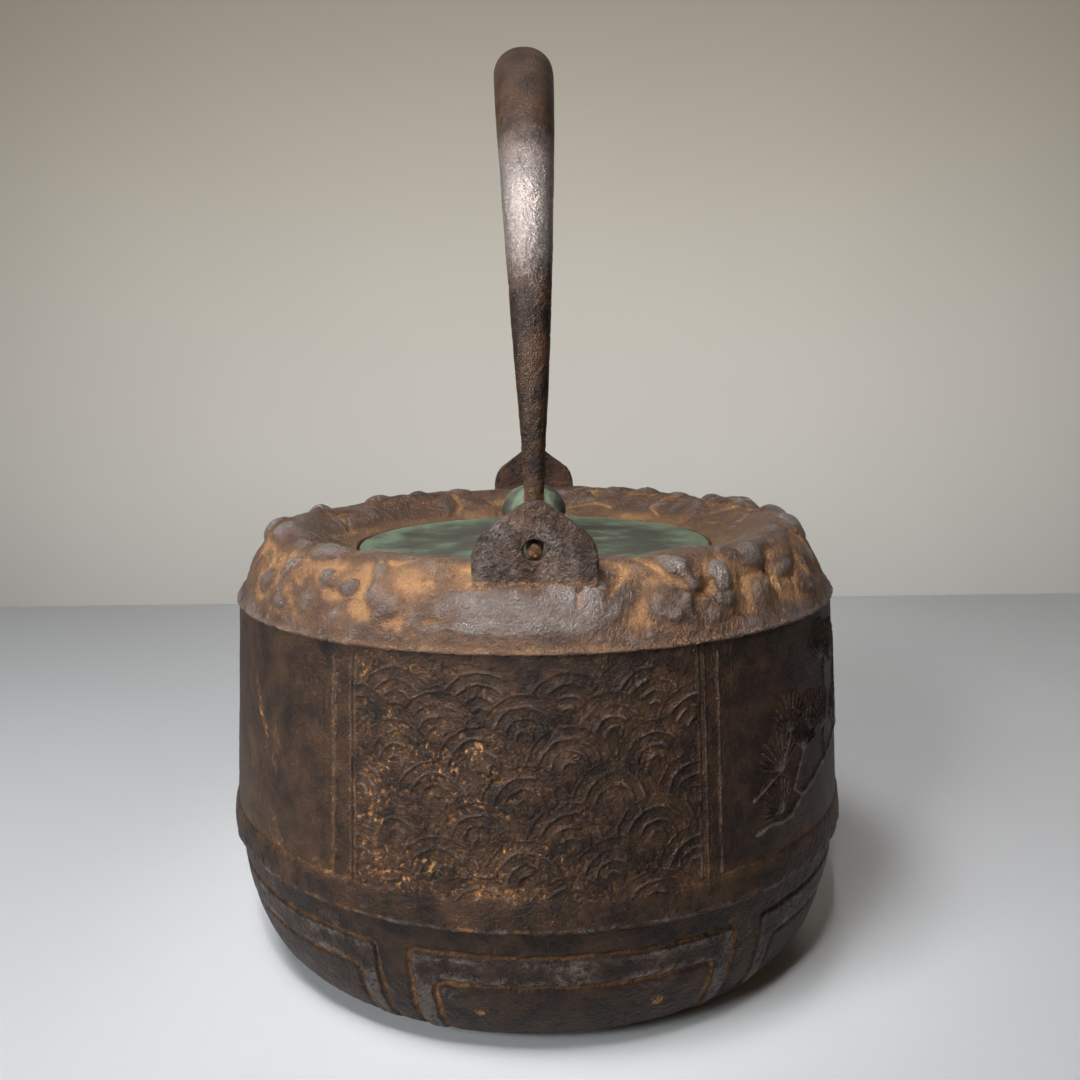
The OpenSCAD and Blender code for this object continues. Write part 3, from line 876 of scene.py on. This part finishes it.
def hook_piece(name, node, side):
    """A hook: the arm below the bow, bent outward into the hole of its lug."""
    corner = np.radians(np.linspace(0, 90, 12))
    arc = np.stack([0 * corner, -ARM_Y - BEND_R + BEND_R * np.cos(corner),
                    PIN_Z + BEND_R - BEND_R * np.sin(corner)], -1)
    top = [[0, -ARM_Y, BOW_FOOT_Z + 3], [0, -ARM_Y, PIN_Z + BEND_R + 0.2]]
    end = [[0, -ARM_Y - BEND_R - 0.3, PIN_Z], [0, -PIN_END_Y, PIN_Z]]
    path = resampled(np.vstack([top, arc, end]), 0.3)
    run = run_along(path)
    arm_run = BOW_FOOT_Z + 3 - PIN_Z - BEND_R
    radius = np.interp(
        run,
        [0, 2.6, 3, 10, 17, arm_run, arm_run + 4, run[-1]],
        [2, 2.2, 2.92, 2.6, 2.33, 2.3, 2, 1.75],
    )
    radius = radius * np.sqrt(np.clip(1 - np.clip((run - run[-1] + 0.8) / 0.85, 0, 1) ** 2, 0, 1))
    radius[0] = 1.6
    grid = swept(path, radius, radius, 44)
    normal = normals_from(grid, path)
    grain = layered(grid + [0, 900 * side, 0], 1.5, 101, 3, 0.65)
    lift = 0.09 * layered(grid, 5, 103, 2) + 0.09 * grain - 0.06
    lift = lift * ramp(run[-1] - run, 0.2, 1.5)[:, None]
    low = ramp(-grid[..., 2], -141, -127)
    end = ramp(np.abs(grid[..., 1]), LUG_Y - 5, LUG_Y - 2)
    rust = (0.2 + 0.85 * low + 0.2 * ramp(grain, 0, 0.6)) * (1 - 0.45 * end)
    marks = {"relief": standing_out(lift, 3), "rust": rust, "wear": 0.25 * (1 - low)}
    grid = grid + normal * lift[..., None]
    grid[..., 1] *= -side
    return on_kettle(skin(name, grid, marks, wrap_rows=False), node, "handle")


bow = bow_piece()
hooks = [hook_piece("hook_front", "rear_hook", -1), hook_piece("hook_back", "spout_hook", 1)]

# ---- lid and knob

PIN_HOLE_R = 2.05


def lid_piece():
    """The flat lid, its edge softened and its face a little uneven."""
    angles = np.linspace(-180, 180, 600, endpoint=False)
    edge = np.radians(np.linspace(0, 90, 6))
    rim = np.stack([LID_R - 0.75 + 0.7 * np.sin(edge), LID_TOP_Z - 0.75 + 0.7 * np.cos(edge)], -1)
    top = resampled([[PIN_HOLE_R, LID_TOP_Z - 0.05], [LID_R - 1, LID_TOP_Z - 0.05]], 0.6)
    line = np.vstack([top, rim, [[LID_R - 0.05, SEAT_Z + 0.5]]])
    back = [[LID_R - 0.4, SEAT_Z], [30, SEAT_Z], [8, SEAT_Z], [PIN_HOLE_R, SEAT_Z]]
    points = turned(line, angles)
    radius = line[:, 0][:, None] + np.zeros(len(angles))
    grain = layered(points, 1.9, 111, 3, 0.6)
    worn = patches(points, 15, 113)
    rim_band = ramp(radius, LID_R - 3.2, LID_R - 2.2)
    lift = 0.1 * layered(points, 17, 115, 2) + 0.035 * grain - 0.1 + 0.1 * rim_band
    lift = lift * ramp(-radius, -LID_R + 0.1, -LID_R + 0.8)
    ring = ramp(radius + 5 * noise(points, 12, 117), LID_R - 15, LID_R - 3)
    rust = 0.2 * worn + 0.55 * ring + 0.2 * rim_band
    piece = cast("lid", line, back, angles, (lift, rust, 0.3 * worn), True)
    return on_kettle(piece, "lid_plate", "lid")


def knob_piece():
    """The knob: a bud with soft lobes on a narrow neck, hollow underneath."""
    low, high = KNOB_LOW[2], KNOB_HIGH[2]
    radius = KNOB_HIGH[0] - 0.15
    wide = low + 0.48 * (high - low)
    turn = np.radians(np.linspace(88, 0, 26))
    dome = np.stack([radius * np.cos(turn), wide + (high - wide - 0.1) * np.sin(turn)], -1)
    under = cubic((radius, wide), (radius - 0.2, wide - 3.2), (5.6, wide - 1.6), (4.3, low + 1.2))
    line = resampled(np.vstack([dome, under[1:], [[4.15, low + 0.1], [1.0, low + 0.1]]]), 0.35)
    angles = np.linspace(-180, 180, 150, endpoint=False)
    grid = turned(line, angles)
    lobes = 0.5 - 0.5 * np.abs(np.cos(np.radians(angles * 2.5 + 20)))
    reach = ramp(line[:, 0], 2.5, 8)[:, None] * ramp(line[:, 1], low + 2.5, low + 5)[:, None]
    flat = grid * [1, 1, 0]
    grid = grid - flat * (0.1 * lobes * reach)[..., None]
    grain = layered(grid, 1.8, 121, 3, 0.6)
    worn = patches(grid, 6, 123)
    lift = 0.07 * grain - 0.08
    grid = grid + flat / radius * lift[..., None]
    marks = {
        "relief": standing_out(lift, 3) - 0.25 * reach * ramp(lobes, 0.3, 0.5),
        "rust": 0.35 * worn + 0 * lift,
        "wear": 0.3 * worn,
    }
    return on_kettle(skin("knob_bud", grid, marks, wrap_rows=False), "knob", "knob")


def seat_piece():
    """A flower-shaped washer under the knob."""
    low, high = SEAT_LOW[2], SEAT_HIGH[2]
    outer = SEAT_HIGH[0] - 0.1
    angles = np.linspace(-180, 180, 240, endpoint=False)
    section = np.array([
        (PIN_HOLE_R, high),
        *shifted(outer, high, ((-2.2, 0), (-1.3, -0.15), (-0.6, -0.5))),
        *shifted(outer, low, ((-0.15, 0.3), (-0.1, 0))),
        (PIN_HOLE_R, low),
    ])
    gaps = (1 - np.abs(np.sin(np.radians(angles * 4)))) * ramp(section[:, 0], 3, 5.5)[:, None]
    grid = turned(section, angles) * (1 - np.array([1, 1, 0]) * (0.13 * gaps)[..., None])
    marks = {"relief": 0.1 - 0.3 * gaps, "rust": 0.3 + 0 * gaps, "wear": 0.3 + 0 * gaps}
    return on_kettle(skin("seat_flower", grid, marks), "knob_seat", "lid")


lid = [lid_piece(), seat_piece()]
knob = knob_piece()

# ---- materials


class Paint:
    """A node material built up step by step; every method returns a socket."""

    def __init__(self, name):
        self.material = bpy.data.materials.new(name)
        self.material.use_nodes = True
        self.tree = self.material.node_tree
        self.shader = self.tree.nodes["Principled BSDF"]
        self.place = self.node("TexCoord", "Object")

    def put(self, socket, value):
        """Links a socket, or writes a plain value."""
        if isinstance(value, bpy.types.NodeSocket):
            self.tree.links.new(value, socket)
        elif isinstance(value, (tuple, list)):
            socket.default_value = (*value, 1.0)[: len(socket.default_value)]
        else:
            socket.default_value = value

    def node(self, kind, output, inputs=None, **settings):
        """A new node with its settings and inputs; gives one of its outputs."""
        node = self.tree.nodes.new("ShaderNode" + kind)
        for key, value in settings.items():
            setattr(node, key, value)
        for key, value in (inputs or {}).items():
            self.put(node.inputs[key], value)
        return node.outputs[output]

    def noise(self, blob, detail=3.0, rough=0.6):
        """Noise from 0 to 1, whose blobs are about that many millimetres."""
        return self.node("TexNoise", "Fac", {
            "Vector": self.place, "Scale": 1 / (blob * MM), "Detail": detail, "Roughness": rough})

    def mark(self, name):
        """A value that the mesh carries at its points."""
        return self.node("Attribute", "Fac", attribute_name=name)

    def math(self, kind, a, b=0.0, clamp=False):
        """One sum of two values."""
        return self.node("Math", 0, {0: a, 1: b}, operation=kind, use_clamp=clamp)

    def total(self, *terms, clamp=True):
        """Sum of (weight, value) pairs and plain numbers."""
        out = 0.0
        for term in terms:
            part = self.math("MULTIPLY", term[1], term[0]) if isinstance(term, tuple) else term
            out = self.math("ADD", out, part)
        return self.math("ADD", out, 0.0, clamp)

    def ramp(self, value, low, high):
        """0 below low, 1 above high."""
        return self.node("MapRange", "Result", {"Value": value, "From Min": low, "From Max": high},
                         interpolation_type="SMOOTHSTEP")

    def mix(self, factor, a, b):
        """Between two colours."""
        return self.node("Mix", 2, {0: factor, 6: a, 7: b}, data_type="RGBA")

    def blend(self, factor, a, b):
        """Between two values."""
        return self.node("Mix", 0, {0: factor, 2: a, 3: b})

    def bumps(self, height, depth):
        """Fine surface relief, its full height in millimetres."""
        normal = self.node("Bump", "Normal", {"Distance": depth * MM, "Height": height})
        self.put(self.shader.inputs["Normal"], normal)

    def finish(self, colour, rough, metal=0.0):
        """Sets the shader's main inputs and gives the material."""
        for key, value in (("Base Color", colour), ("Roughness", rough), ("Metallic", metal)):
            self.put(self.shader.inputs[key], value)
        return self.material


IRON_DARK = (0.025, 0.0145, 0.0105)
IRON_WARM = (0.074, 0.037, 0.0205)
# Silver of worn iron, partly a painted highlight where the bow's and the shoulder's bands call for
# it
SILVER_WEAR_AND_SHEEN = (0.24, 0.205, 0.19)
BROWN = (0.105, 0.052, 0.024)
RUST_DEEP = (0.15, 0.068, 0.025)
RUST_BRIGHT = (0.37, 0.19, 0.075)


def toned(colour, tone):
    """A colour made darker or paler."""
    return tuple(v * tone for v in colour)


def rusty_iron(name, tone, rusty, silver, rough, depth, gloss, edge=(0.02, 0.5), dust=1.0,
               worn=1.0, matte=0.86):
    """Old iron: dark skin, brown tints, rust specks in hollows, worn silver where it stands out and
    where the wear mark is high; on the bow's band and the shoulder's smooth band that silver is
    partly a painted highlight.

    tone, dust and worn set how pale the skin, the rust and the worn spots are; rusty and silver
    how much there is of both; edge how sharply rust begins; depth the bumps in millimetres.
    """
    p = Paint(name)
    relief, rust_mark, wear_and_sheen_mark = p.mark("relief"), p.mark("rust"), p.mark("wear")
    mottle, fleck = p.noise(6, 5, 0.65), p.noise(1.2, 3, 0.65)
    speck = p.noise(0.42, 2, 0.6)
    skin_colour = p.mix(
        p.ramp(p.total((0.55, mottle), (0.3, fleck), (0.15, speck)), 0.4, 0.62),
        toned(IRON_DARK, tone),
        toned(IRON_WARM, tone),
    )
    hollow = p.ramp(p.math("MULTIPLY", relief, -1.0), 0.0, 0.45)
    tint = p.total((0.8 * rusty, rust_mark), (0.35 * rusty, hollow), (0.8, mottle), -0.42)
    skin_colour = p.mix(tint, skin_colour, BROWN)
    amount = p.total((0.75 * rusty, rust_mark), (0.5 * rusty, hollow), (1.1, fleck),
                     (0.7, speck), (0.35, mottle), -1.38)
    rusted = p.ramp(amount, *edge)
    rust_colour = p.mix(p.ramp(p.total((0.5, speck), (0.5, rust_mark)), 0.25, 0.8),
                        RUST_DEEP, toned(RUST_BRIGHT, dust))
    colour = p.mix(rusted, skin_colour, rust_colour)
    raised = p.ramp(relief, 0.0, 0.3)
    shine = p.total((silver, wear_and_sheen_mark), (0.5 * silver, raised), (0.6, speck), (0.4, mottle),
                    -0.7)
    shine = p.math("MULTIPLY", p.ramp(shine, 0.08, 0.8), p.math("SUBTRACT", 1.0, rusted))
    # Worn silver, partly a painted highlight on the bow's band and the shoulder's smooth band
    colour = p.mix(shine, colour, toned(SILVER_WEAR_AND_SHEEN, worn))
    roughness = p.blend(rusted, p.blend(shine, rough, rough - 0.14), matte)
    metal = p.blend(rusted, p.blend(shine, 0.12, 0.75), 0.0)
    p.shader.inputs["Specular IOR Level"].default_value = gloss
    grain = p.total((0.6, p.ramp(fleck, 0.3, 0.7)), (0.4, p.ramp(speck, 0.3, 0.7)))
    p.bumps(grain, depth)
    return p.finish(colour, roughness, metal)


PATINA_DARK = (0.032, 0.031, 0.023)
PATINA_PALE = (0.11, 0.155, 0.1)
BRONZE = (0.13, 0.095, 0.045)


def green_bronze(name, pale):
    """Copper alloy with a green patina, paler in patches and on the rim."""
    p = Paint(name)
    relief, mark = p.mark("relief"), p.mark("rust")
    cloud, fleck, speck = p.noise(9, 5, 0.7), p.noise(1.6, 3, 0.6), p.noise(0.5, 2, 0.6)
    pale_amount = p.total((1.3, cloud), (0.35, fleck), (pale, mark), (-0.4, relief), -0.67)
    colour = p.mix(p.ramp(pale_amount, 0.12, 0.52), PATINA_DARK, PATINA_PALE)
    brown = p.total((0.9, p.noise(5, 3, 0.6)), (0.5, speck), -0.62)
    colour = p.mix(p.math("MULTIPLY", p.ramp(brown, 0.1, 0.5), 0.6), colour, BRONZE)
    p.bumps(p.total((0.6, fleck), (0.4, speck), clamp=False), 0.12)
    return p.finish(colour, p.blend(pale_amount, 0.55, 0.8), 0.2)


def plain_rust(name):
    """Rust all over, for small parts."""
    p = Paint(name)
    fleck, speck = p.noise(1.3, 3, 0.6), p.noise(0.5, 2, 0.6)
    colour = p.mix(p.ramp(fleck, 0.35, 0.65), RUST_DEEP, RUST_BRIGHT)
    colour = p.mix(p.math("MULTIPLY", p.ramp(speck, 0.5, 0.7), 0.5), colour, IRON_DARK)
    p.bumps(p.total((0.6, fleck), (0.4, speck), clamp=False), 0.2)
    return p.finish(colour, p.blend(fleck, 0.8, 0.92))


def clothe(objects, material):
    """Gives one material to each object."""
    for piece in objects:
        piece.data.materials.clear()
        piece.data.materials.append(material)


nodes = frame["nodes"]
clothe([*wall, *bowl, spout], rusty_iron(
    "iron_body", tone=0.4, rusty=0.9, silver=0.65, rough=0.44, depth=0.3, gloss=0.18))
clothe(shoulder, rusty_iron(
    "iron_shoulder", tone=1.3, rusty=1.1, silver=0.8, rough=0.31, depth=0.5, gloss=0.45,
    edge=(-0.22, 1.05), dust=0.8, worn=0.85, matte=0.7))
clothe(lugs, rusty_iron(
    "iron_lug", tone=0.65, rusty=0.7, silver=0.85, rough=0.45, depth=0.45, gloss=0.22))
clothe([bow], rusty_iron(
    "iron_bow", tone=0.4, rusty=0.45, silver=1.05, rough=0.4, depth=0.25, gloss=0.18, dust=0.8))
clothe(hooks, rusty_iron(
    "iron_hook", tone=0.4, rusty=0.95, silver=0.5, rough=0.55, depth=0.35, gloss=0.2, dust=0.6,
    worn=0.7))
clothe(lid, green_bronze("bronze_lid", 0.35))
clothe([nodes["lid_flange"], nodes["knob_washer"]], green_bronze("bronze_plain", 0.0))
clothe([knob], green_bronze("bronze_knob", 0.6))
clothe([nodes["core_chaplets"], nodes["knob_pin"]], plain_rust("iron_rust"))

# ---- stage, light and camera


def flat_sheet(name, corners_m, under, material):
    """A thin closed slab for the stage, its thickness given as an offset in metres."""
    points = [*corners_m, *(tuple(Vector(c) + Vector(under)) for c in corners_m)]
    sides = [(k, k + 4, (k + 1) % 4 + 4, (k + 1) % 4) for k in range(4)]
    mesh = bpy.data.meshes.new(name)
    mesh.from_pydata(points, [], [(0, 1, 2, 3), (7, 6, 5, 4), *sides])
    mesh.materials.append(material)
    add_object(name, mesh)


def stage_paint(name, colour, rough, mottled):
    """A plain surface with a hardly visible unevenness."""
    p = Paint(name)
    cloud = p.ramp(p.noise(220, 2, 0.5), 0.3, 0.7)
    return p.finish(p.mix(cloud, toned(colour, 1 - mottled), colour), rough)


def shaded_wall_paint():
    """A wall with painted shade: it grows darker and warmer upwards."""
    p = Paint("grey_wall_painted_shade")
    up = p.ramp(p.node("SeparateXYZ", "Z", {0: p.place}), -0.6, 1.3)
    cloud = p.math("MULTIPLY", p.ramp(p.noise(500, 2, 0.5), 0.3, 0.7), 0.06)
    # Painted shade: darker and warmer towards the top
    tone = p.mix(up, (0.45, 0.445, 0.425), (0.33, 0.303, 0.255))
    return p.finish(p.mix(cloud, tone, (0.25, 0.24, 0.22)), 0.85)


# From here on lengths are metres
TABLE_EDGE_Y = 0.431
WALL_Y = 3
SHEET_T = 0.004
flat_sheet("table", [(-3, -1.5, 0), (3, -1.5, 0), (3, TABLE_EDGE_Y, 0), (-3, TABLE_EDGE_Y, 0)],
           (0, 0, -SHEET_T), stage_paint("white_table", (0.5, 0.51, 0.52), 0.45, 0.03))
flat_sheet("backdrop", [(-9, WALL_Y, -2), (9, WALL_Y, -2), (9, WALL_Y, 6), (-9, WALL_Y, 6)],
           (0, SHEET_T, 0), shaded_wall_paint())


def lamp(name, power, size, place, aim, colour=(1, 1, 1), spread=180):
    """An area lamp pointed at a spot; spread is its beam's angle in degrees."""
    data = bpy.data.lights.new(name, "AREA")
    data.energy = power
    data.color = colour
    data.shape = "RECTANGLE"
    data.size, data.size_y = size
    data.spread = math.radians(spread)
    piece = add_object(name, data)
    piece.location = place
    piece.rotation_euler = (Vector(aim) - Vector(place)).to_track_quat("-Z", "Y").to_euler()
    return piece


lamp("key", 6.2, (0.26, 0.26), (-0.2, -0.27, 0.8), (-0.02, -0.05, 0.1), (0.97, 0.98, 1))
lamp("left", 3.6, (0.25, 0.2), (-0.46, -0.46, 0.3), (-0.22, -0.24, 0.02), (0.93, 0.97, 1))
lamp("fill", 0.38, (0.8, 0.6), (0.7, -0.5, 0.5), (0, 0, 0.1), (1, 0.63, 0.33))
lamp("far", 1.2, (1.6, 0.4), (0, 0.75, 1.2), (0, 0.35, 0), (1, 0.98, 0.95))
lamp("wall_wash", 70, (4.0, 1.0), (0, 1.2, 0.4), (0, WALL_Y, 0.2), (1, 0.98, 0.95))
lamp("beam", 0.2, (0.14, 0.14), (-0.26, -0.48, 0.4), (0, -0.06, 0.2), spread=34)
lamp("sheen", 0.06, (0.08, 0.08), (-0.05, -0.42, 0.72), (-0.01, -0.07, 0.113), spread=20)
behind = lamp("behind", 0.5, (0.3, 0.08), (0, 0.85, 0.055), (0, 0.05, 0.06), (1, 0.97, 0.93), 60)
behind.visible_camera = False

ROOM_COLOUR = (0.66, 0.62, 0.57, 1)
ROOM_GLOW = 0.06
ROOM_SEEN = 0.3

world = bpy.data.worlds.new("room")
world.use_nodes = True
room = world.node_tree
sky = room.nodes["Background"].inputs
sky["Color"].default_value = ROOM_COLOUR
seen = room.nodes.new("ShaderNodeLightPath").outputs["Is Camera Ray"]
strength = room.nodes.new("ShaderNodeMix")
strength.inputs[2].default_value = ROOM_GLOW
strength.inputs[3].default_value = ROOM_SEEN
room.links.new(seen, strength.inputs[0])
room.links.new(strength.outputs[0], sky["Strength"])
scene.world = world

CAMERA_PLACE = (0, -0.3186, 0.1654)
CAMERA_TILT, CAMERA_TURN, CAMERA_ROLL = (math.radians(a) for a in (80.73, -0.29, -0.65))

camera_data = bpy.data.cameras.new("camera")
camera_data.lens = 36.07
camera_data.sensor_width = 36
camera = add_object("camera", camera_data)
camera.location = CAMERA_PLACE
tilt = Euler((CAMERA_TILT, 0, CAMERA_TURN)).to_matrix()
camera.rotation_euler = (tilt @ Matrix.Rotation(CAMERA_ROLL, 3, "Z")).to_euler()
scene.camera = camera
scene.view_settings.view_transform = "Standard"
